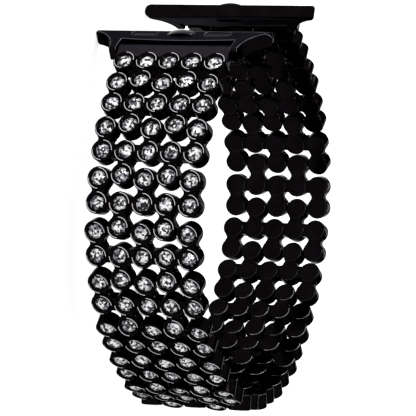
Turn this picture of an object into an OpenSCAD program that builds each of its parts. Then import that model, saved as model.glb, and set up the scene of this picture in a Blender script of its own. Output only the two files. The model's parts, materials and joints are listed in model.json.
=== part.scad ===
// Link watch bracelet. Castings of round stone cups are pinned end to end, and an
// end plate on the first and last casting hangs in a slide-in watch adapter.
// The bracelet lies on its edge: +Z runs along the hinge pins, across the band.
// +Y points from the middle of the band to the opening for the watch, -X is the front half.
// The origin is under the middle of the loop, on the surface that it lies on.

/* [Band] */
// Distance between neighbouring cups across the band
column_pitch = 3.5; // [3.45:0.05:3.8]
// Distance between neighbouring rows of cups, measured along the band
row_pitch = 3.7; // [3.6:0.05:4.1]
// How far finger cups sit from the pin line, towards their own casting
stagger = 0.23; // [0.15:0.01:0.35]
// How far the band is laid straight, from 0 round a wrist to 1 flat on a bench
straighten = 0; // [0:0.05:1]

/* [Stone cups] */
// Outer diameter of a cup
cup_d = 3.4; // [3:0.05:3.4]
// Height of a cup's rim above the pin line, on the outside of the band
cup_rise = 1.2; // [1.05:0.05:1.5]
// Depth of a casting's flat back below the pin line, on the wrist side
back_depth = 1.15; // [0.9:0.05:1.4]
// Chamfer round a cup's rim and back edge
edge_chamfer = 0.15; // [0.05:0.01:0.25]
// Diameter of the rim's inner edge
rim_d = 2.7; // [2.4:0.05:2.8]
// Depth of the sloping bezel inside the rim
bezel_depth = 0.3; // [0.15:0.05:0.4]

/* [Stones] */
// Diameter of a stone
stone_d = 2.2; // [1.8:0.05:2.3]
// Height of a stone's straight girdle
girdle_h = 0.15; // [0.1:0.05:0.25]
// Height of the faceted crown over the girdle
crown_h = 0.35; // [0.2:0.05:0.4]
// Diameter of the flat table on the crown
table_d = 1.2; // [0.8:0.05:1.5]
// Depth of the girdle's top below the foot of the bezel
stone_sink = 0.1; // [0.05:0.01:0.15]
// Clearance round a stone in its seat
stone_clearance = 0.03; // [0.02:0.01:0.06]

/* [Castings] */
// Least width of the neck between a cup and its finger cup
neck_w = 1.9; // [1.2:0.1:2.2]
// Radius of the hollow on each side of a neck
neck_r = 0.8; // [0.6:0.05:1]
// Width along the band of the web that joins a row of cups
web_w = 1.7; // [1.2:0.1:2.4]
// Height of the necks and webs above the pin line
web_rise = 0.5; // [0.2:0.05:0.8]

/* [Pins] */
// Diameter of the hinge pins between castings
pin_d = 0.8; // [0.6:0.05:0.95]
// Radial running clearance of a pin in its bores
pin_clearance = 0.04; // [0.02:0.01:0.08]
// How far a pin's ends lie below the sides of the band
pin_inset = 0.2; // [0.1:0.05:0.5]

/* [End plates] */
// Distance from the last row of cups to the pivot bar
plate_reach = 2.9; // [2.8:0.05:3.6]
// Radius of the knuckle that turns on the pivot bar
knuckle_r = 0.85; // [0.75:0.05:0.9]
// Height of the plate's face above the pin line
plate_rise = 0.85; // [0.6:0.05:1]
// Depth of the plate's back below the pin line
plate_depth = 0.7; // [0.5:0.05:0.85]

/* [Adapters] */
// Length of an adapter, the width of the watch that it slides into
adapter_l = 27.5; // [26:0.1:29]
// Thickness of an adapter
adapter_t = 2.3; // [2.1:0.05:2.6]
// Distance from the pivot bar to the adapter's nose
nose_reach = 4.2; // [3.9:0.05:4.6]
// Distance from the pivot bar to the ends of the ears
ear_reach = 1.4; // [1.05:0.05:1.6]
// Gap between the pivot bar and the adapter's back edge, at the middle
back_edge = 1.05; // [1:0.05:1.3]
// How far the back edge bows towards the band at the middle
back_bow = 0.4; // [0.1:0.05:0.8]
// Least depth of the horns at the two ends, behind the nose
horn_w = 0.5; // [0.4:0.05:0.8]
// Radius of the hollow curve from each horn to its ear
hollow_r = 4.9; // [4.6:0.1:5.4]
// Thickness of an ear
ear_t = 1.1; // [0.9:0.05:1.3]
// Gap between an end plate and each ear
ear_gap = 0.12; // [0.08:0.01:0.3]
// Radius of the nose's long edges
nose_r = 0.5; // [0.2:0.05:0.8]
// Radius of the corners at an ear's end
ear_r = 0.5; // [0.2:0.05:0.9]
// Chamfer of the square end
end_chamfer = 0.3; // [0.1:0.05:0.6]
// Diameter of the pivot bar
bar_d = 1; // [0.8:0.05:1.1]

/* [Latch and pads] */
// Length of each pill-shaped slot in an adapter
slot_l = 4.1; // [3.6:0.1:4.6]
// Width of each slot
slot_w = 1.25; // [1:0.05:1.4]
// Distance between neighbouring slots
slot_pitch = 5.7; // [5.2:0.1:6]
// Distance from the nose to the middle of the slots
slot_inset = 1.15; // [1:0.05:1.4]
// Depth of the two slots that hold pads
pad_depth = 0.8; // [0.5:0.05:1]
// How far a pad lies below the outer face
pad_inset = 0.15; // [0:0.05:0.3]
// Clearance round the latch and the pads in their slots
slot_clearance = 0.05; // [0.03:0.01:0.1]
// How far the latch's crown stands proud of the outer face
latch_proud = 0.4; // [0.2:0.05:0.6]
// Travel of the latch when it is pressed
latch_travel = 0.5; // [0.3:0.05:0.6]
// Thickness of the wall left over the latch's end tabs, on both faces
latch_wall = 0.4; // [0.3:0.05:0.5]
// Length of each of the latch's end tabs
tab_l = 0.5; // [0.3:0.05:0.7]
// Thickness of the leaf spring behind the latch
leaf_t = 0.12; // [0.08:0.01:0.15]

/* [Hidden] */
$fn = 48;
columns = 5;
castings = 22;
root_casting = ceil(castings / 2);
middle_column = (columns + 1) / 2;

// Bend at each pin as the bracelet stands, in degrees, from the front end to the back end
rest_bends = [8, 13, 12, 19, 14, 20, 7, 13, 20, 12, 15, 15, 13, 12, 13, 16, 20, 15, 11, 10, 17];
// Bend at the pivot bar of the front and of the back adapter
front_bend = 20;
back_bend = -4;

link_pitch = 2 * row_pitch;
cup_r = cup_d / 2;
half_band = (columns - 1) / 2 * column_pitch + cup_r;
mid_z = adapter_l / 2;
bore_r = pin_d / 2 + pin_clearance;
finger_x = row_pitch - stagger;
end_bar_x = plate_reach - finger_x;
seat_r = stone_d / 2 + stone_clearance;
seat_y = cup_rise - bezel_depth - stone_sink - girdle_h;
half_ear_gap = half_band + ear_gap;
half_ears = half_ear_gap + ear_t;
half_t = adapter_t / 2;
slot_x = nose_reach - slot_inset;
latch_w = slot_w - 2 * slot_clearance;
latch_l = slot_l - 2 * slot_clearance;
latch_top = half_t - latch_wall - slot_clearance;
latch_foot = latch_wall - half_t + latch_travel + leaf_t + slot_clearance;
// How far a cut runs past the face that it opens
eps = 0.01;

links = [for (k = [1:castings]) k];
function two(k) = str(k < 10 ? "0" : "", k);

// Heading of a casting: the root casting lies along X, the others turn away from it
function bend(pin) = rest_bends[pin - 1] * (1 - straighten);
function heading(k) =
    k == root_casting ? 0 :
    k < root_casting ? heading(k + 1) - bend(k) :
    heading(k - 1) + bend(k - 1);
function along(a) = [cos(a), sin(a)];
function outward(a) = [sin(a), -cos(a)];

// Pin k joins casting k to casting k + 1; the first and last are the two open ends
function pin_at(k) =
    k == root_casting - 1 ? -row_pitch * along(0) :
    k == root_casting ? row_pitch * along(0) :
    k < root_casting ? pin_at(k + 1) - link_pitch * along(heading(k + 1)) :
    pin_at(k - 1) + link_pitch * along(heading(k));
function centre_of(k) = (pin_at(k - 1) + pin_at(k)) / 2;

first_bar = centre_of(1) - plate_reach * along(heading(1));
last_bar = centre_of(castings) + end_bar_x * along(heading(castings));
first_turn = heading(1) - front_bend * (1 - straighten);
last_turn = heading(castings) + back_bend * (1 - straighten);

// Middle of the loop, from the corners of every row of cups, both noses and both latches
rim_points = [for (k = links, c = cups_of(k), s = [-1, 1])
    centre_of(k) + (c[0] + s * (cup_r - edge_chamfer)) * along(heading(k))
        + cup_rise * outward(heading(k))];
side_points = [for (k = links, c = cups_of(k), s = [-1, 1])
    centre_of(k) + (c[0] + s * cup_r) * along(heading(k))
        + (cup_rise - edge_chamfer) * outward(heading(k))];
function at_first(x, y) = first_bar - x * along(first_turn) + y * outward(first_turn);
function at_last(x, y) = last_bar + x * along(last_turn) + y * outward(last_turn);
nose_points = [for (y = [nose_r - half_t, half_t - nose_r], way = [[1, 0], [-1, 0], [0, 1], [0, -1]])
    each [
        at_first(nose_reach - nose_r, y) + nose_r * way,
        at_last(nose_reach - nose_r, y) + nose_r * way
    ]];
latch_points = [for (x = [slot_x - latch_w / 2, slot_x + latch_w / 2])
    each [at_first(x, half_t + latch_proud), at_last(x, half_t + latch_proud)]];
corners = concat(rim_points, side_points, nose_points, latch_points);
corner_x = [for (p = corners) p[0]];
corner_y = [for (p = corners) p[1]];
loop_mid = [(min(corner_x) + max(corner_x)) / 2, (min(corner_y) + max(corner_y)) / 2];

// Places a child drawn in a casting's own frame: X along the band, -Y outward, Z across
module at_casting(k) {
    place = centre_of(k) - loop_mid;
    translate([place[0], place[1], mid_z])
        rotate([0, 0, heading(k)])
            children();
}

// Places a child drawn in the back adapter's frame: the front adapter is the same, turned over
module at_adapter(front) {
    place = (front ? first_bar : last_bar) - loop_mid;
    translate([place[0], place[1], mid_z])
        rotate([0, 0, front ? first_turn : last_turn])
            rotate([0, front ? 180 : 0, 0])
                children();
}

function column_z(c) = (c - middle_column) * column_pitch;
function outer_columns() = [for (c = [1:2:columns]) c];
function inner_columns() = [for (c = [2:2:columns]) c];

// Places of a casting's cups: the row itself, fingers towards the front and the back end
function row_cups(k) = k == castings ? [] : [for (c = [1:columns]) [0, column_z(c)]];
function front_fingers(k) = k == 1 ? [] : [for (c = outer_columns()) [-finger_x, column_z(c)]];
function back_fingers(k) = k == castings ? [] : [for (c = inner_columns()) [finger_x, column_z(c)]];
function cups_of(k) = concat(row_cups(k), front_fingers(k), back_fingers(k));

// Turns a shape drawn up +Z so that it stands outward from the band
module stand_out(x, z) {
    translate([x, 0, z])
        rotate([90, 0, 0])
            children();
}

module cup() {
    rotate_extrude()
        polygon([
            [0, -back_depth],
            [cup_r - edge_chamfer, -back_depth],
            [cup_r, edge_chamfer - back_depth],
            [cup_r, cup_rise - edge_chamfer],
            [cup_r - edge_chamfer, cup_rise],
            [rim_d / 2, cup_rise],
            [seat_r, cup_rise - bezel_depth],
            [seat_r, seat_y],
            [0, seat_y]
        ]);
}

module stone() {
    translate([0, 0, seat_y])
        cylinder(h = girdle_h, d = stone_d, $fn = 8);
    translate([0, 0, seat_y + girdle_h])
        cylinder(h = crown_h, d1 = stone_d, d2 = table_d, $fn = 8);
}

// Box from x1 to x2 along the band, centred on z across it, from the flat back upwards
module bridge(x1, x2, z, w, rise) {
    translate([x1, -rise, z - w / 2])
        cube([x2 - x1, rise + back_depth, w]);
}

// Neck between the cup at 0 and the finger cup at x, with a hollow on each side
module neck(x, z) {
    side = neck_w / 2 + neck_r;
    foot_w = 2 * cup_r * side / norm([x / 2, side]);
    difference() {
        bridge(min(x, 0), max(x, 0), z, foot_w, web_rise);
        for (s = [-1, 1])
            stand_out(x / 2, z + s * side)
                translate([0, 0, -back_depth - eps])
                    cylinder(h = back_depth + web_rise + 2 * eps, r = neck_r);
    }
}

// Flat web behind a row of cups, and a neck to each finger cup
module web_and_necks(k) {
    if (k < castings) {
        bridge(-web_w / 2, web_w / 2, 0, (columns - 1) * column_pitch, web_rise);
        for (f = concat(front_fingers(k), back_fingers(k)))
            neck(f[0], f[1]);
    }
    if (k == castings)
        for (f = front_fingers(k))
            bridge(f[0], end_bar_x - knuckle_r, f[1], neck_w, web_rise);
}

// End plate with its knuckle, drawn from x towards the pivot bar at bar_x
module end_plate(x, bar_x) {
    difference() {
        union() {
            translate([x, -plate_rise, -half_band])
                cube([bar_x - x, plate_rise + plate_depth, 2 * half_band]);
            translate([bar_x, 0, -half_band])
                cylinder(h = 2 * half_band, r = knuckle_r);
        }
        translate([bar_x, 0, -half_band - eps])
            cylinder(h = 2 * half_band + 2 * eps, r = bar_d / 2 + pin_clearance);
    }
}

module hinge_bore(x) {
    translate([x, 0, -half_band - eps])
        cylinder(h = 2 * half_band + 2 * eps, r = bore_r);
}

// Material that would stand in a stone's recess
module recesses(k) {
    for (c = cups_of(k))
        stand_out(c[0], c[1])
            translate([0, 0, seat_y])
                cylinder(h = cup_rise, r = seat_r);
}

module hinge_pin(x) {
    translate([x, 0, pin_inset - half_band])
        cylinder(h = 2 * (half_band - pin_inset), d = pin_d);
}

// One casting with the pin that its own front fingers carry
module link(k) {
    color("#17171b")
        at_casting(k) {
            difference() {
                union() {
                    for (c = cups_of(k))
                        stand_out(c[0], c[1])
                            cup();
                    web_and_necks(k);
                    if (k == 1)
                        mirror([1, 0, 0])
                            end_plate(0, plate_reach);
                    if (k == castings)
                        end_plate(-cup_r, end_bar_x);
                }
                recesses(k);
                if (k > 1)
                    hinge_bore(-row_pitch);
                if (k < castings)
                    hinge_bore(row_pitch);
            }
            if (k > 1)
                hinge_pin(-row_pitch);
        }
}

module stones(k) {
    color("#dfe3ea")
        at_casting(k)
            for (c = cups_of(k))
                stand_out(c[0], c[1])
                    stone();
}

// Rounded slot outline, long way across the band
module pill(l, w) {
    for (s = [-1, 1])
        translate([0, s * (l - w) / 2])
            circle(d = w);
    square([w, l - w], center = true);
}

// Extrudes an outline drawn over X and Z from one height to another, heights outward
module outward_extrude(from, to) {
    rotate([90, 0, 0])
        translate([0, 0, from])
            linear_extrude(height = to - from)
                children();
}

// Outline of an adapter seen from outside the band: nose, horns, hollows, ears, back edge
module adapter_outline() {
    hollow_x = nose_reach - horn_w - hollow_r;
    hollow_z = half_ears + hollow_r;
    bow_r = (pow(half_ear_gap, 2) + pow(back_bow, 2)) / (2 * back_bow);
    difference() {
        translate([-ear_reach, -mid_z])
            square([nose_reach + ear_reach, adapter_l]);
        for (s = [-1, 1]) {
            translate([hollow_x, s * hollow_z])
                circle(r = hollow_r);
            translate([-ear_reach - eps, s * hollow_z - hollow_r])
                square([hollow_x + ear_reach + eps, 2 * hollow_r]);
            translate([hollow_x - hollow_r, s > 0 ? hollow_z : -hollow_z - hollow_r])
                square([2 * hollow_r, hollow_r]);
        }
        difference() {
            translate([-ear_reach - eps, -half_ear_gap])
                square([ear_reach + back_edge + back_bow + eps, 2 * half_ear_gap]);
            translate([back_edge + bow_r, 0])
                circle(r = bow_r, $fn = 360);
        }
    }
}

// Side view of an adapter, nose to the right
module adapter_side() {
    for (s = [-1, 1]) {
        translate([nose_reach - nose_r, s * (half_t - nose_r)])
            circle(r = nose_r);
        translate([ear_r - ear_reach, s * (half_t - ear_r)])
            circle(r = ear_r);
    }
    translate([ear_r - ear_reach, -half_t])
        square([nose_reach - nose_r + ear_reach - ear_r, adapter_t]);
    translate([nose_reach - 2 * nose_r, nose_r - half_t])
        square([2 * nose_r, adapter_t - 2 * nose_r]);
    translate([-ear_reach, ear_r - half_t])
        square([2 * ear_r, adapter_t - 2 * ear_r]);
}

// End view of an adapter over Y and Z: round at its low end, square at the other
module adapter_end() {
    translate([0, half_t - mid_z])
        circle(r = half_t);
    polygon([
        [-half_t, half_t - mid_z],
        [half_t, half_t - mid_z],
        [half_t, mid_z - end_chamfer],
        [half_t - end_chamfer, mid_z],
        [end_chamfer - half_t, mid_z],
        [-half_t, mid_z - end_chamfer]
    ]);
}

module adapter_blank() {
    intersection() {
        outward_extrude(-half_t, half_t)
            adapter_outline();
        translate([0, 0, -mid_z])
            linear_extrude(height = adapter_l)
                adapter_side();
        translate([-ear_reach, 0, 0])
            rotate([90, 0, 90])
                linear_extrude(height = nose_reach + ear_reach)
                    adapter_end();
    }
}

// Pocket for the latch: a slot through both faces with room for its end tabs between them
module latch_pocket() {
    translate([slot_x, 0, 0]) {
        outward_extrude(-half_t - eps, half_t + eps)
            pill(slot_l, slot_w);
        outward_extrude(latch_wall - half_t, half_t - latch_wall)
            square([slot_w, slot_l + 2 * (tab_l + slot_clearance)], center = true);
    }
}

module pad_slots() {
    for (s = [-1, 1])
        translate([slot_x, 0, s * slot_pitch])
            outward_extrude(half_t - pad_depth, half_t + eps)
                pill(slot_l, slot_w);
}

module adapter(front) {
    color("#23252e")
        at_adapter(front)
            difference() {
                adapter_blank();
                latch_pocket();
                pad_slots();
                translate([0, 0, -half_ears - eps])
                    cylinder(h = 2 * half_ears + 2 * eps, r = bar_d / 2 + pin_clearance);
            }
}

module pivot_bar(front) {
    color("#3a3a40")
        at_adapter(front)
            translate([0, 0, pin_inset - half_ears])
                cylinder(h = 2 * (half_ears - pin_inset), d = bar_d);
}

// The latch: a pill with two end tabs, and a domed crown that stands proud
module latch(front) {
    crown_r = (pow(latch_l / 2, 2) + pow(latch_proud, 2)) / (2 * latch_proud);
    color("#6d6f78")
        at_adapter(front)
            translate([slot_x, 0, 0]) {
                outward_extrude(latch_foot, latch_top)
                    square([latch_w, latch_l + 2 * tab_l], center = true);
                intersection() {
                    outward_extrude(latch_foot, half_t + latch_proud)
                        pill(latch_l, latch_w);
                    translate([-latch_w, crown_r - half_t - latch_proud, 0])
                        rotate([0, 90, 0])
                            cylinder(h = 2 * latch_w, r = crown_r, $fn = 180);
                }
            }
}

// Leaf spring behind the latch, drawn at its pressed height on the pocket's floor
module latch_spring(front) {
    leaf_l = latch_l + 2 * tab_l;
    color("#9a9ca3")
        at_adapter(front)
            translate([slot_x, 0, 0])
                outward_extrude(latch_wall - half_t, latch_wall - half_t + leaf_t)
                    square([latch_w - 2 * slot_clearance, leaf_l], center = true);
}

module pads(front) {
    color("#101013")
        at_adapter(front)
            for (s = [-1, 1])
                translate([slot_x, 0, s * slot_pitch])
                    outward_extrude(half_t - pad_depth, half_t - pad_inset)
                        pill(latch_l, latch_w);
}

for (k = links) {
    link(k);
    stones(k);
}
adapter(true);  // adapter_a
adapter(false);  // adapter_b
pivot_bar(true);  // pivot_bar_a
pivot_bar(false);  // pivot_bar_b
latch(true);  // latch_a
latch(false);  // latch_b
latch_spring(true);  // latch_spring_a
latch_spring(false);  // latch_spring_b
pads(true);  // pads_a
pads(false);  // pads_b
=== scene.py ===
# Link watch bracelet: the finish of its castings, stones and watch adapters.
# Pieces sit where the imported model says, so their places are worked out from its hinge points.
import json
import math

import bmesh
import bpy
from mathutils import Matrix, Vector


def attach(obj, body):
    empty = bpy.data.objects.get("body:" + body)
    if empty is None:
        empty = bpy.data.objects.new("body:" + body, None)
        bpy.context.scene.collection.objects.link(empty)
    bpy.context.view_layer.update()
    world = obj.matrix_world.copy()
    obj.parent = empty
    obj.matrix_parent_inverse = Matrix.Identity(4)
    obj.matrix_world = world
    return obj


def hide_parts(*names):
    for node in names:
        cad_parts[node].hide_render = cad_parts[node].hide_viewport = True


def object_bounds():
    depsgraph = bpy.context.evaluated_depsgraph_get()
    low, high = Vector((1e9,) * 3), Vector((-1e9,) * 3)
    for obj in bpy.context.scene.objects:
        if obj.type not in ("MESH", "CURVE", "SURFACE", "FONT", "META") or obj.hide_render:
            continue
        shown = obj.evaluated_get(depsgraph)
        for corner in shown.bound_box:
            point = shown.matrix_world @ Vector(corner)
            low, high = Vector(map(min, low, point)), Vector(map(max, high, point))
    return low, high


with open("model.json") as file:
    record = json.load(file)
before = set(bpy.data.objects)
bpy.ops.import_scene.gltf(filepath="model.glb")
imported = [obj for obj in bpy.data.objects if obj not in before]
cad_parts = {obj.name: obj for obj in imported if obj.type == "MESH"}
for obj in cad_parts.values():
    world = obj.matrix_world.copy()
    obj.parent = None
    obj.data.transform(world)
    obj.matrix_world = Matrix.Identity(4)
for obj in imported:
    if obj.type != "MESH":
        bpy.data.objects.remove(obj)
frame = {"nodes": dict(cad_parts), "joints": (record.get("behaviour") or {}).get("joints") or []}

cad_low, cad_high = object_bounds()
MIDDLE = (cad_low + cad_high) / 2

# All lengths are in metres, apart from the camera's lens and sensor
MM = 0.001

# Rows and columns of cups
COLUMNS = 5
COLUMN_PITCH = 3.5 * MM
ROW_PITCH = 3.7 * MM
STAGGER = 0.23 * MM
FINGER_X = ROW_PITCH - STAGGER

# Cups, measured from the pin line, and the rod of the hinge pins
CUP_R = 1.7 * MM
CREST = 1.19 * MM
BACK_DEPTH = 1.15 * MM
BACK_EDGE_H = 0.04 * MM
HALF_BAND = (COLUMNS - 1) / 2 * COLUMN_PITCH + CUP_R
CUP_SIDES = 24
PIN_R = 0.4 * MM
PIN_EASE = 0.05 * MM
PIN_INSET = 0.1 * MM
PIN_SIDES = 16

# Bridges between the cups of a casting. A neck starts a little inside the cups' backs, so that
# no two faces lie in one plane
BRIDGE_RISE = 0.9 * MM
NECK_W = 1.9 * MM
NECK_FOOT_W = 2.1 * MM
NECK_LAP = 0.8 * MM
NECK_SUNK = 0.015 * MM
NECK_EASE = 0.07 * MM
HOLLOW_R = 0.5 * MM
HOLLOW_REACH = 0.42 * MM
WEB_W = 2.1 * MM
WEB_LAP = 0.9 * MM
WEB_SUNK = 0.2 * MM
WEB_EASE = 0.1 * MM

# End plates with the knuckles that turn on the pivot bars
PLATE_REACH = 2.9 * MM
PLATE_RISE = 0.85 * MM
PLATE_DEPTH = 0.7 * MM
PLATE_EASE = 0.12 * MM
KNUCKLE_R = 0.85 * MM

# Stones, and the degrees by which one is turned further than the one before it, and than the
# same one on the casting before
SEAT_Y = 0.65 * MM
GIRDLE_H = 0.15 * MM
CROWN_H = 0.35 * MM
STONE_D = 2.2 * MM
TABLE_D = 1.2 * MM
STAR_SHARE = 0.41
STONE_TURN = 73
CASTING_TURN = 37

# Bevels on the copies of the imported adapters, latches and pads
ADAPTER_EASE = 0.06 * MM
SMALL_EASE = 0.05 * MM

# Degrees between two faces: corners past the first are broken, edges past the second stay
# crisp, and faces within the third are joined into one
CORNER = 35
CREASE = 50
ONE_FACE = 0.5

# Lengths within which points are one, and heights are the same
WELD = 0.001 * MM
HAIR = 0.01 * MM

# How squarely an adapter's broad faces look out or in, and the least that a bevel looks out
# # to carry the painted highlight, as cosines
BROAD = 0.95
OUTER = 0.1

# Where a cup carries its painted highlights, in degrees round it, and how far to each side
HIGHLIGHT_WAY = 135
CREST_ARC = 40
BACK_ARC = 60

# Castings within this many of the one after the root, to each side, get the brighter painted
# highlight on their back edges
MOST_HIGHLIGHTED = 2

# Sizes of the finishes' patterns. Blast marks, drawn lines and the skin of the rubber are finer
# on the real parts, and are drawn this coarse so that they show. A drawn line is as many times
# longer than wide as LINE_LENGTHS says
CLOUD = 2.5 * MM
PLATING_GRAIN = 0.4 * MM
RUB = 1.1 * MM
SHARD = 0.32 * MM
HAZE = 4 * MM
BLAST_MARK = 0.17 * MM
DRAWN_LINE = 0.17 * MM
LINE_LENGTHS = 20
SKIN_GRAIN = 0.33 * MM
FINE_DEPTH = 0.01 * MM
COARSE_DEPTH = 0.02 * MM

# Where the darker and the lighter shade of a clouded finish lie on its noise
SHADE_STOPS = (0.3, 0.7)

# Holds back the shine at a slant, which on black plating is less than on bright metal
SLANT_TINT = "b2b2b2"

# Painted reflections of a stone's facets, from black to white, by share of its facets
FLASHES = [(0.0, "020203"), (0.34, "5c5a66"), (0.47, "acaab4"), (0.58, "ffffff")]
FACET_TILT = 0.7

# Hinge points from one open end of the band to the other
HINGES = {j["name"]: Vector(j["pos_m"]) for j in frame["joints"] if j["type"] == "hinge"}
CASTINGS = sum(name.startswith("hinge_") for name in HINGES) + 1
ROOT = math.ceil(CASTINGS / 2)
PINS = [
    HINGES["adapter_a_hinge"],
    *[HINGES[f"hinge_{k:02d}"] for k in range(1, CASTINGS)],
    HINGES["adapter_b_hinge"],
]

# Turns a shape drawn across XY and up Z so that it stands outward from the band
STAND = Matrix.Rotation(math.radians(90), 4, "X")


def casting_place(k):
    """Matrix from casting k's frame, X along the band, Y across it, Z outward, to the object's."""
    start, end = PINS[k - 1], PINS[k]
    along = (end - start).normalized()
    centre = end - ROW_PITCH * along if k < CASTINGS else start + ROW_PITCH * along
    heading = math.atan2(along.y, along.x)
    return Matrix.Translation(centre) @ Matrix.Rotation(heading, 4, "Z") @ STAND


def column_y(c):
    """How far column c lies from the middle of the band."""
    return (c - (COLUMNS + 1) / 2) * COLUMN_PITCH


def row_cups(k):
    """The row of cups across casting k, which the short end piece lacks."""
    return [(0, column_y(c)) for c in range(1, COLUMNS + 1)] if k < CASTINGS else []


def fingers(k):
    """Finger cups of casting k: three towards the front end and two towards the back end."""
    front = [(-FINGER_X, column_y(c)) for c in range(1, COLUMNS + 1, 2)] if k > 1 else []
    back = [(FINGER_X, column_y(c)) for c in range(2, COLUMNS, 2)] if k < CASTINGS else []
    return front + back


def colour(code):
    """Linear colour from an sRGB hex value such as "1c1b1d"."""
    parts = [int(code[i:i + 2], 16) / 255 for i in (0, 2, 4)]
    linear = [p / 12.92 if p <= 0.04045 else ((p + 0.055) / 1.055) ** 2.4 for p in parts]
    return (*linear, 1.0)


def add(tree, kind, inputs=(), **settings):
    """Adds a node with its settings; an input is a value, or a socket to link from."""
    node = tree.nodes.new(kind)
    for name, value in settings.items():
        setattr(node, name, value)
    for name, value in dict(inputs).items():
        if isinstance(value, bpy.types.NodeSocket):
            tree.links.new(value, node.inputs[name])
        else:
            node.inputs[name].default_value = value
    return node


def new_material(name):
    """An empty material and its node tree."""
    material = bpy.data.materials.new(name)
    material.use_nodes = True
    material.node_tree.nodes.clear()
    return material, material.node_tree


def set_ramp(ramp, stops, interpolation="LINEAR"):
    """Gives a colour ramp its stops, each a place and an sRGB hex value."""
    ramp.color_ramp.interpolation = interpolation
    elements = ramp.color_ramp.elements
    while len(elements) > 1:
        elements.remove(elements[-1])
    elements[0].position = stops[0][0]
    elements[0].color = colour(stops[0][1])
    for place, code in stops[1:]:
        elements.new(place).color = colour(code)


def relief(tree, place, size, strength, depth):
    """Fine unevenness of a surface, as a normal to shade with."""
    marks = add(tree, "ShaderNodeTexNoise", {"Vector": place, "Scale": 1 / size, "Detail": 2})
    bump = add(tree, "ShaderNodeBump", {
        "Height": marks.outputs["Fac"], "Strength": strength, "Distance": depth,
    })
    return bump.outputs["Normal"]


def plated_alloy(name, shades, gloss):
    """Cast zinc alloy plated black, which looks nearly black face on and mirrors at a slant.
    The plating clouds a little between two shades and two roughnesses."""
    material, tree = new_material(name)
    place = add(tree, "ShaderNodeTexCoord").outputs["Object"]
    cloud = add(tree, "ShaderNodeTexNoise", {"Vector": place, "Scale": 1 / CLOUD, "Detail": 3})
    tint = add(tree, "ShaderNodeValToRGB", {"Fac": cloud.outputs["Fac"]})
    set_ramp(tint, list(zip(SHADE_STOPS, shades)))
    shine = add(tree, "ShaderNodeMapRange", {
        "Value": cloud.outputs["Fac"], "To Min": gloss[0], "To Max": gloss[1],
    })
    shader = add(tree, "ShaderNodeBsdfPrincipled", {
        "Base Color": tint.outputs["Color"],
        "Metallic": 1.0,
        "Roughness": shine.outputs["Result"],
        "Specular Tint": colour(SLANT_TINT),
        "Normal": relief(tree, place, PLATING_GRAIN, strength=0.04, depth=FINE_DEPTH),
    })
    add(tree, "ShaderNodeOutputMaterial", {"Surface": shader.outputs["BSDF"]})
    return material


def painted_highlight_metal(name, code, roughness):
    """Brighter metal that paints a highlight on an edge, where the light would catch it."""
    material, tree = new_material(name)
    place = add(tree, "ShaderNodeTexCoord").outputs["Object"]
    shader = add(tree, "ShaderNodeBsdfPrincipled", {
        "Base Color": colour(code),
        "Metallic": 1.0,
        "Roughness": roughness,
        "Normal": relief(tree, place, RUB, strength=0.1, depth=COARSE_DEPTH),
    })
    add(tree, "ShaderNodeOutputMaterial", {"Surface": shader.outputs["BSDF"]})
    return material


def cut_crystal():
    """Machine-cut lead glass with a silvered back: facets that flash white beside near black.
    Small cells of painted reflection and shade, each with a tilt, stand for the facets too fine to
    model."""
    material, tree = new_material("foil_backed_cut_crystal")
    place = add(tree, "ShaderNodeTexCoord").outputs["Object"]
    shards = add(tree, "ShaderNodeTexVoronoi", {"Vector": place, "Scale": 1 / SHARD})
    flash = add(tree, "ShaderNodeSeparateColor", {"Color": shards.outputs["Color"]})
    tint = add(tree, "ShaderNodeValToRGB", {"Fac": flash.outputs["Red"]})
    set_ramp(tint, FLASHES, "CONSTANT")
    away = add(tree, "ShaderNodeVectorMath", {
        0: shards.outputs["Color"], 1: (0.5, 0.5, 0.5),
    }, operation="SUBTRACT")
    tilt = add(tree, "ShaderNodeVectorMath", {
        0: away.outputs["Vector"], "Scale": FACET_TILT,
    }, operation="SCALE")
    face = add(tree, "ShaderNodeNewGeometry").outputs["Normal"]
    lean = add(tree, "ShaderNodeVectorMath", {
        0: face, 1: tilt.outputs["Vector"],
    }, operation="ADD")
    normal = add(tree, "ShaderNodeVectorMath", {
        0: lean.outputs["Vector"],
    }, operation="NORMALIZE")
    shader = add(tree, "ShaderNodeBsdfPrincipled", {
        "Base Color": tint.outputs["Color"],
        "Metallic": 0.3,
        "Roughness": 0.12,
        "Specular IOR Level": 0.2,
        "Coat Weight": 0.2,
        "Coat Roughness": 0.02,
        "Normal": normal.outputs["Vector"],
    })
    add(tree, "ShaderNodeOutputMaterial", {"Surface": shader.outputs["BSDF"]})
    return material


def satin_coating():
    """Steel, bead blasted and vapour coated: satin black that leans to slate blue in the light."""
    material, tree = new_material("satin_black_coated_steel")
    place = add(tree, "ShaderNodeTexCoord").outputs["Object"]
    haze = add(tree, "ShaderNodeTexNoise", {"Vector": place, "Scale": 1 / HAZE})
    tint = add(tree, "ShaderNodeValToRGB", {"Fac": haze.outputs["Fac"]})
    set_ramp(tint, list(zip(SHADE_STOPS, ("18171b", "1e1d22"))))
    shader = add(tree, "ShaderNodeBsdfPrincipled", {
        "Base Color": tint.outputs["Color"],
        "Metallic": 1.0,
        "Roughness": 0.36,
        "Specular Tint": colour(SLANT_TINT),
        "Normal": relief(tree, place, BLAST_MARK, strength=0.15, depth=COARSE_DEPTH),
    })
    add(tree, "ShaderNodeOutputMaterial", {"Surface": shader.outputs["BSDF"]})
    return material


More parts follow.
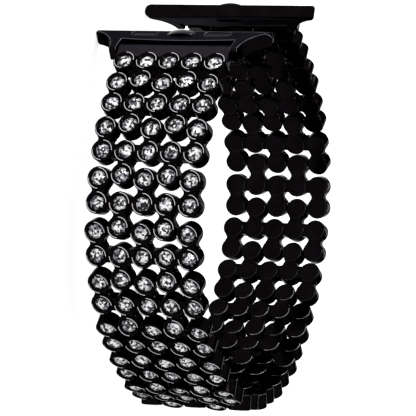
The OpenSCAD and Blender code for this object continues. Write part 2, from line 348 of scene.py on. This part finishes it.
def drawn_steel(name, code, roughness):
    """Drawn or rolled steel with faint lines along Z, which stretch its reflections."""
    material, tree = new_material(name)
    place = add(tree, "ShaderNodeTexCoord").outputs["Object"]
    along = add(tree, "ShaderNodeMapping", {
        "Vector": place, "Scale": (1, 1, 1 / LINE_LENGTHS),
    }).outputs["Vector"]
    shader = add(tree, "ShaderNodeBsdfPrincipled", {
        "Base Color": colour(code),
        "Metallic": 1.0,
        "Roughness": roughness,
        "Normal": relief(tree, along, DRAWN_LINE, strength=0.1, depth=FINE_DEPTH),
    })
    add(tree, "ShaderNodeOutputMaterial", {"Surface": shader.outputs["BSDF"]})
    return material


def silicone():
    """Silicone rubber, moulded: soft black with a broad dull sheen."""
    material, tree = new_material("moulded_silicone_rubber")
    place = add(tree, "ShaderNodeTexCoord").outputs["Object"]
    shader = add(tree, "ShaderNodeBsdfPrincipled", {
        "Base Color": colour("151519"),
        "Roughness": 0.6,
        "Specular IOR Level": 0.08,
        "Normal": relief(tree, place, SKIN_GRAIN, strength=0.2, depth=COARSE_DEPTH),
    })
    add(tree, "ShaderNodeOutputMaterial", {"Surface": shader.outputs["BSDF"]})
    return material


def to_mesh(name, bm):
    """Turns a bmesh into a mesh and lets the bmesh go."""
    mesh = bpy.data.meshes.new(name)
    bm.to_mesh(mesh)
    bm.free()
    return mesh


def show(name, data):
    """Puts a mesh, lamp or camera into the scene."""
    thing = bpy.data.objects.new(name, data)
    bpy.context.scene.collection.objects.link(thing)
    return thing


def soften(bm):
    """Smooth shading, with a crease left at open edges and where faces meet sharply."""
    for face in bm.faces:
        face.smooth = True
    for edge in bm.edges:
        whole = len(edge.link_faces) == 2
        edge.smooth = whole and edge.calc_face_angle() < math.radians(CREASE)


def keep_mesh(name, bm):
    """Turns a finished bmesh into a mesh with its faces outward."""
    bmesh.ops.recalc_face_normals(bm, faces=bm.faces)
    soften(bm)
    return to_mesh(name, bm)


def break_corners(bm, width, clamp):
    """Bevels the sharp corners of a bmesh and gives back the new faces."""
    corners = [
        e for e in bm.edges
        if len(e.link_faces) == 2 and e.calc_face_angle() > math.radians(CORNER)
    ]
    return bmesh.ops.bevel(bm, geom=corners, offset=width, offset_type="OFFSET", segments=2,
                           profile=0.5, affect="EDGES", material=-1,
                           clamp_overlap=clamp)["faces"]


def lathe_form(name, profile, sides):
    """A closed form turned about Z from radii and heights, flat at both ends."""
    bm = bmesh.new()
    verts = [bm.verts.new((radius, 0, height)) for radius, height in profile]
    edges = [bm.edges.new(pair) for pair in zip(verts, verts[1:])]
    bmesh.ops.spin(bm, geom=verts + edges, cent=(0, 0, 0), axis=(0, 0, 1),
                   angle=2 * math.pi, steps=sides, use_merge=True)
    bmesh.ops.holes_fill(bm, edges=bm.edges, sides=0)
    return keep_mesh(name, bm)


def block(name, outline, low, high, ease, turn=Matrix.Identity(4)):
    """A closed form that stands on an outline from low to high, its corners bevelled."""
    bm = bmesh.new()
    face = bm.faces.new([bm.verts.new((x, y, low)) for x, y in outline])
    grown = bmesh.ops.extrude_face_region(bm, geom=[face])["geom"]
    raised = [v for v in grown if isinstance(v, bmesh.types.BMVert)]
    bmesh.ops.translate(bm, verts=raised, vec=(0, 0, high - low))
    bmesh.ops.recalc_face_normals(bm, faces=bm.faces)
    break_corners(bm, ease, True)
    bmesh.ops.transform(bm, matrix=turn, verts=bm.verts)
    return keep_mesh(name, bm)


def grow(bm, mesh, place):
    """Adds a copy of a mesh to a bmesh at a place."""
    known = len(bm.verts)
    bm.from_mesh(mesh)
    bm.verts.ensure_lookup_table()
    bmesh.ops.transform(bm, matrix=place, verts=bm.verts[known:])


def finish_piece(name, bm, body, materials, replaced):
    """Makes a bmesh a piece that rides on a body, with its flat faces shaded flat."""
    mesh = to_mesh(name, bm)
    for material in materials:
        mesh.materials.append(material)
    piece = show(name, mesh)
    flat = piece.modifiers.new("flat_faces", "WEIGHTED_NORMAL")
    flat.keep_sharp = True
    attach(piece, body)
    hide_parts(*replaced)


def mark_cup_highlights(mesh):
    """Marks the faces of a cup that carry painted highlights: two arcs of its crest with the
    second material, and one arc of its back edge with the third."""
    for face in mesh.polygons:
        x, y, height = face.center
        lean = math.cos(math.atan2(y, x) - math.radians(HIGHLIGHT_WAY))
        on_crest = height > CREST - HAIR
        on_back_edge = height < BACK_EDGE_H - BACK_DEPTH and math.hypot(x, y) > CUP_R / 2
        if on_crest and abs(lean) > math.cos(math.radians(CREST_ARC)):
            face.material_index = 1
        if on_back_edge and lean > math.cos(math.radians(BACK_ARC)):
            face.material_index = 2


def cup_mesh():
    """A cup: flat back with a rounded edge, straight side, rounded crest and sloping bezel."""
    mesh = lathe_form("cup", [
        (CUP_R - 0.19 * MM, -BACK_DEPTH),
        (CUP_R - 0.1 * MM, BACK_EDGE_H - BACK_DEPTH),
        (CUP_R, 0.16 * MM - BACK_DEPTH),
        (CUP_R, CREST - 0.21 * MM),
        (CUP_R - 0.07 * MM, CREST - 0.06 * MM),
        (CUP_R - 0.18 * MM, CREST),
        (CUP_R - 0.26 * MM, CREST),
        (CUP_R - 0.38 * MM, CREST - 0.07 * MM),
        (CUP_R - 0.58 * MM, SEAT_Y + GIRDLE_H),
    ], CUP_SIDES)
    mark_cup_highlights(mesh)
    return mesh


def neck_mesh():
    """The neck between two cups of one casting, hollow on both sides."""
    steps = 3
    side = [(NECK_LAP, NECK_FOOT_W / 2)]
    for i in range(-steps, steps + 1):
        x = HOLLOW_REACH * i / steps
        hollow = HOLLOW_R - math.sqrt(HOLLOW_R ** 2 - x ** 2)
        side.append((FINGER_X / 2 + x, NECK_W / 2 + hollow))
    side.append((FINGER_X - NECK_LAP, NECK_FOOT_W / 2))
    outline = side + [(x, -y) for x, y in reversed(side)]
    return block("neck", outline, NECK_SUNK - BACK_DEPTH, BRIDGE_RISE, NECK_EASE)


def web_mesh():
    """The web between two neighbouring cups of a row, a little below their backs."""
    half, near, far = WEB_W / 2, WEB_LAP, COLUMN_PITCH - WEB_LAP
    outline = [(-half, near), (half, near), (half, far), (-half, far)]
    return block("web", outline, WEB_SUNK - BACK_DEPTH, BRIDGE_RISE, WEB_EASE)


def plate_mesh(name, start, bar):
    """An end plate from the cups to the knuckle that turns on the pivot bar."""
    steps = 12
    way = 1 if bar > start else -1
    foot = math.sqrt(KNUCKLE_R ** 2 - PLATE_DEPTH ** 2)
    outline = [(start, -PLATE_DEPTH), (start, PLATE_RISE)]
    for i in range(steps + 1):
        angle = math.radians(90 - 180 * i / steps)
        outline.append((bar + way * KNUCKLE_R * math.cos(angle), KNUCKLE_R * math.sin(angle)))
    outline.append((bar - way * foot, -PLATE_DEPTH))
    return block(name, outline, -HALF_BAND, HALF_BAND, PLATE_EASE, STAND)


def pin_mesh():
    """A hinge pin, its ends a little inside the band and eased."""
    rod = [
        (PIN_R - PIN_EASE, PIN_INSET - HALF_BAND),
        (PIN_R, PIN_INSET + PIN_EASE - HALF_BAND),
    ]
    mesh = lathe_form("pin", rod + [(r, -h) for r, h in reversed(rod)], PIN_SIDES)
    mesh.transform(STAND)
    return mesh


def brilliant():
    """One stone: table, star, kite and girdle facets of a round brilliant's crown."""
    bm = bmesh.new()
    facets = 8
    rings = [
        (facets, TABLE_D / 2, CROWN_H, math.radians(180 / facets)),
        (facets, STONE_D * STAR_SHARE, CROWN_H / 2, 0),
        (2 * facets, STONE_D / 2, 0, 0),
        (2 * facets, STONE_D / 2, -GIRDLE_H, 0),
    ]
    for count, radius, height, start in rings:
        place = Matrix.Translation((0, 0, height)) @ Matrix.Rotation(start, 4, "Z")
        bmesh.ops.create_circle(bm, segments=count, radius=radius, matrix=place)
    bmesh.ops.convex_hull(bm, input=bm.verts)
    loose = [e for e in bm.edges if not e.link_faces]
    bmesh.ops.delete(bm, geom=loose, context="EDGES")
    bmesh.ops.recalc_face_normals(bm, faces=bm.faces)
    return to_mesh("brilliant", bm)


def set_stones(k, stone, material):
    """The stones of casting k, each turned its own way in its seat."""
    bm = bmesh.new()
    seat = SEAT_Y + GIRDLE_H
    for i, (x, y) in enumerate(row_cups(k) + fingers(k)):
        spin = Matrix.Rotation(math.radians(CASTING_TURN * k + STONE_TURN * i), 4, "Z")
        grow(bm, stone, casting_place(k) @ Matrix.Translation((x, y, seat)) @ spin)
    name, body, node = f"rhinestones_{k:02d}", f"casting_{k:02d}", f"stones_{k:02d}"
    finish_piece(name, bm, body, [material], [node])


def cast(k, cup, neck, web, materials):
    """Casting k: its cups, the webs between the cups of its row, and a neck to each finger."""
    bm = bmesh.new()
    place = casting_place(k)
    for x, y in row_cups(k) + fingers(k):
        grow(bm, cup, place @ Matrix.Translation((x, y, 0)))
    for x, y in row_cups(k)[:-1]:
        grow(bm, web, place @ Matrix.Translation((x, y, 0)))
    for x, y in fingers(k):
        way = Matrix.Rotation(0 if x > 0 else math.pi, 4, "Z")
        grow(bm, neck, place @ Matrix.Translation((0, y, 0)) @ way)
    name, body, node = f"casting_{k:02d}_cups", f"casting_{k:02d}", f"link_{k:02d}"
    finish_piece(name, bm, body, materials, [node])


def lay_across(name, mesh, k, x, material):
    """A piece of casting k that lies across the band at x."""
    bm = bmesh.new()
    grow(bm, mesh, casting_place(k) @ Matrix.Translation((x, 0, 0)))
    finish_piece(name, bm, f"casting_{k:02d}", [material], [f"link_{k:02d}"])


def sort_adapter_faces(bm, bevels):
    """Gives an adapter's broad faces its first material, the bevels round its outer side the
    second, which paints a highlight, and the rest the third, darker partly as a glossier finish
    and partly as painted shade."""
    largest = max(bm.faces, key=lambda face: face.calc_area())
    out = largest.normal.copy()
    if out.dot(largest.calc_center_median() - MIDDLE) < 0:
        out.negate()
    for face in bm.faces:
        face.material_index = 0 if abs(face.normal.dot(out)) > BROAD else 2
    for face in bevels:
        face.material_index = 1 if face.normal.dot(out) > OUTER else 2


def eased_copy(node, body, materials, width):
    """A copy of a CAD node with its sharp corners broken by a small bevel."""
    bm = bmesh.new()
    bm.from_mesh(frame["nodes"][node].data)
    bmesh.ops.remove_doubles(bm, verts=bm.verts, dist=WELD)
    bmesh.ops.dissolve_limit(bm, angle_limit=math.radians(ONE_FACE),
                             verts=bm.verts, edges=bm.edges)
    bevels = break_corners(bm, width, False)
    if len(materials) > 1:
        sort_adapter_faces(bm, bevels)
    soften(bm)
    finish_piece(f"{node}_body", bm, body, materials, [node])


def paint(node, material):
    """Gives a CAD node its material."""
    slots = frame["nodes"][node].data.materials
    slots.clear()
    slots.append(material)


# The castings are barrel polished to a deep gloss, the end plates are left a little duller
BLACK = plated_alloy("black_plated_zinc_alloy", ("080607", "0d0b0d"), (0.08, 0.16))
PLATE = plated_alloy("satin_black_plated_zinc_alloy", ("1f1c21", "262328"), (0.3, 0.4))
# Brighter metals for painted highlights: two arcs of each cup's crest, one arc of each back edge
CREST_HIGHLIGHT = painted_highlight_metal("painted_highlight_on_rim_of_black_plating", "c4c1c6", 0.12)
BACK_HIGHLIGHT = painted_highlight_metal("painted_highlight_on_back_edge_of_black_plating", "7b787c", 0.2)
FAINT_BACK_HIGHLIGHT = painted_highlight_metal("faint_painted_highlight_on_back_edge_of_black_plating", "2a282c", 0.25)
CRYSTAL = cut_crystal()

# The adapters are satin, with a painted highlight on the bevels round their outer side
SATIN = satin_coating()
ADAPTER_EDGE_HIGHLIGHT = painted_highlight_metal("painted_highlight_on_edge_of_black_coating", "4c4b51", 0.25)
RUBBER = silicone()

# Rods are heat blued, the latches blackened and polished, the leaf springs left bare
BLUED = drawn_steel("blued_steel_rod", "2e2e36", 0.25)
POLISHED = drawn_steel("polished_black_oxide_steel", "19191d", 0.2)
SPRING = drawn_steel("spring_steel_strip", "9a9ca3", 0.3)

stone = brilliant()
cup = cup_mesh()
neck = neck_mesh()
web = web_mesh()
pin = pin_mesh()
for k in range(1, CASTINGS + 1):
    # Castings near the one after the root get the brighter painted highlight on their back edges
    bright_back_edges = abs(k - (ROOT + 1)) <= MOST_HIGHLIGHTED
    cast(k, cup, neck, web, [BLACK, CREST_HIGHLIGHT, BACK_HIGHLIGHT if bright_back_edges else FAINT_BACK_HIGHLIGHT])
    set_stones(k, stone, CRYSTAL)
    if k > 1:
        lay_across(f"hinge_pin_{k - 1:02d}", pin, k, -ROW_PITCH, BLUED)
front_plate = plate_mesh("front_plate", 0, -PLATE_REACH)
back_plate = plate_mesh("back_plate", -CUP_R, PLATE_REACH - FINGER_X)
lay_across("end_plate_a", front_plate, 1, 0, PLATE)
lay_across("end_plate_b", back_plate, CASTINGS, 0, PLATE)
for side in "ab":
    adapter, latch, pads = f"adapter_{side}", f"latch_{side}", f"pads_{side}"
    body = f"adapter_{side}_body"
    # The adapters' sides and ends take the darker gloss black: partly a glossier finish, partly
    # painted shade
    eased_copy(adapter, body, [SATIN, ADAPTER_EDGE_HIGHLIGHT, BLACK], ADAPTER_EASE)
    eased_copy(latch, f"latch_{side}_body", [POLISHED], SMALL_EASE)
    eased_copy(pads, body, [RUBBER], SMALL_EASE)
    paint(adapter, SATIN)
    paint(latch, POLISHED)
    paint(pads, RUBBER)
    paint(f"pivot_bar_{side}", BLUED)
    paint(f"latch_spring_{side}", SPRING)
for k in range(1, CASTINGS + 1):
    paint(f"link_{k:02d}", BLACK)
    paint(f"stones_{k:02d}", CRYSTAL)

# The camera stands on the band's front side, turned so that the loop stands upright in view.
# Its place is measured from the root casting
CAMERA_AT = casting_place(ROOT).translation + Vector((-361.1, 98.2, 132.85)) * MM
CAMERA_RIGHT = Vector((0.3433, -0.0270, 0.9388))
CAMERA_UP = Vector((0.1757, 0.9838, -0.0359))
LENS = 221.8
SENSOR = 36.0
NEAREST = 0.01
FARTHEST = 10

camera_data = bpy.data.cameras.new("camera")
camera_data.lens = LENS
camera_data.sensor_width = SENSOR
camera_data.clip_start = NEAREST
camera_data.clip_end = FARTHEST
camera = show("camera", camera_data)
back = CAMERA_RIGHT.cross(CAMERA_UP).normalized()
up = back.cross(CAMERA_RIGHT).normalized()
facing = Matrix((CAMERA_RIGHT.normalized(), up, back)).transposed().to_4x4()
camera.matrix_world = Matrix.Translation(CAMERA_AT) @ facing
bpy.context.scene.camera = camera

# Half the width of the floor, the glow of its paper where seen, and the fill from all sides
FLOOR_HALF = 3
PAPER_GLOW = 0.6
FILL = 0.45


def seen_or_mirrored(tree):
    """1 where a ray shows a surface directly, in a mirror or through glass, and 0 where it only
    brings light."""
    ray = add(tree, "ShaderNodeLightPath").outputs
    seen = add(tree, "ShaderNodeMath", {
        0: ray["Is Camera Ray"], 1: ray["Is Glossy Ray"],
    }, operation="MAXIMUM")
    seen = add(tree, "ShaderNodeMath", {
        0: seen.outputs["Value"], 1: ray["Is Transmission Ray"],
    }, operation="MAXIMUM")
    return seen.outputs["Value"]


def white_paper():
    """Matt white paper that keeps the object's shadow. The glow makes up for the plain level
    of the lamps wherever the paper is seen."""
    material, tree = new_material("white_paper_floor")
    share = add(tree, "ShaderNodeMath", {
        0: seen_or_mirrored(tree), 1: PAPER_GLOW,
    }, operation="MULTIPLY")
    paper = add(tree, "ShaderNodeBsdfDiffuse", {"Color": colour("fafafa")})
    glow = add(tree, "ShaderNodeEmission", {
        "Color": colour("ffffff"), "Strength": share.outputs["Value"],
    })
    both = add(tree, "ShaderNodeAddShader", {
        0: paper.outputs["BSDF"], 1: glow.outputs["Emission"],
    })
    add(tree, "ShaderNodeOutputMaterial", {"Surface": both.outputs["Shader"]})
    return material


def studio_world():
    """White surroundings where they are seen or mirrored, a plain fill elsewhere."""
    world = bpy.data.worlds.new("studio")
    world.use_nodes = True
    tree = world.node_tree
    tree.nodes.clear()
    fill = add(tree, "ShaderNodeBackground", {"Color": colour("ffffff"), "Strength": FILL})
    white = add(tree, "ShaderNodeBackground", {"Color": colour("ffffff"), "Strength": 1.0})
    mix = add(tree, "ShaderNodeMixShader", {
        "Fac": seen_or_mirrored(tree),
        1: fill.outputs["Background"],
        2: white.outputs["Background"],
    })
    add(tree, "ShaderNodeOutputWorld", {"Surface": mix.outputs["Shader"]})
    return world


def soft_box(name, place, size, strength):
    """A soft box that points at the middle of the bracelet."""
    lamp = bpy.data.lights.new(name, "AREA")
    lamp.shape = "RECTANGLE"
    lamp.size, lamp.size_y = size
    lamp.energy = strength
    holder = show(name, lamp)
    holder.location = place
    holder.rotation_euler = (MIDDLE - Vector(place)).to_track_quat("-Z", "Y").to_euler()


# Floor under the bracelet, which lies on its edge
bm = bmesh.new()
bmesh.ops.create_grid(bm, x_segments=1, y_segments=1, size=FLOOR_HALF)
floor = show("floor", to_mesh("floor", bm))
floor.data.materials.append(white_paper())
bpy.context.scene.world = studio_world()

# Soft boxes: where each stands, its width and height, and its watts
soft_box("key", (-0.25, 0.25, 0.5), (0.08, 0.3), 1.2)
soft_box("back", (0.55, -0.15, 0.2), (0.4, 0.02), 1.0)
soft_box("top", (0.1, 0.55, 0.12), (0.3, 0.06), 0.8)
soft_box("glint", (0.3, 0.3, 0.45), (0.08, 0.08), 0.6)

bpy.context.scene.view_settings.view_transform = "Standard"
